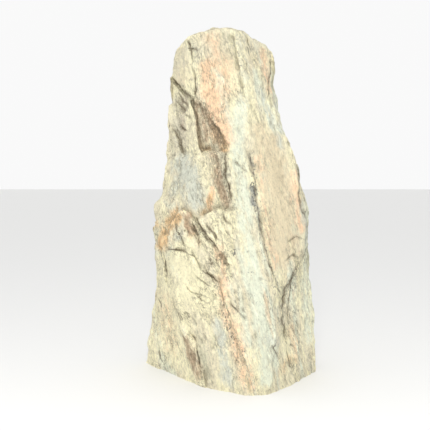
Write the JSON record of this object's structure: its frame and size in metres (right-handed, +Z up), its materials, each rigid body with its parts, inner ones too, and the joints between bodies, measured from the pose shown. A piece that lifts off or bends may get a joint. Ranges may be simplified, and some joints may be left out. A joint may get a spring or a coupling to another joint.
{
  "type": "marble fountain stone",
  "caption": "Tall standing stone of banded marble with split, ledged faces, sawn flat underneath and drilled from foot to crown for a fountain's water pipe.",
  "frame": {"origin": "on the sawn underside, below the middle of the stone's outline as seen from above", "axes": "+Z up along the stone's height; -Y towards its broad split front face; +X to the right as one looks at that face"},
  "size_m": [0.408, 0.3184, 0.8037],
  "materials": {
    "marble": "rough split, unpolished"
  },
  "bodies": {
    "root": {"fountain_stone": "marble"}
  },
  "joints": []
}
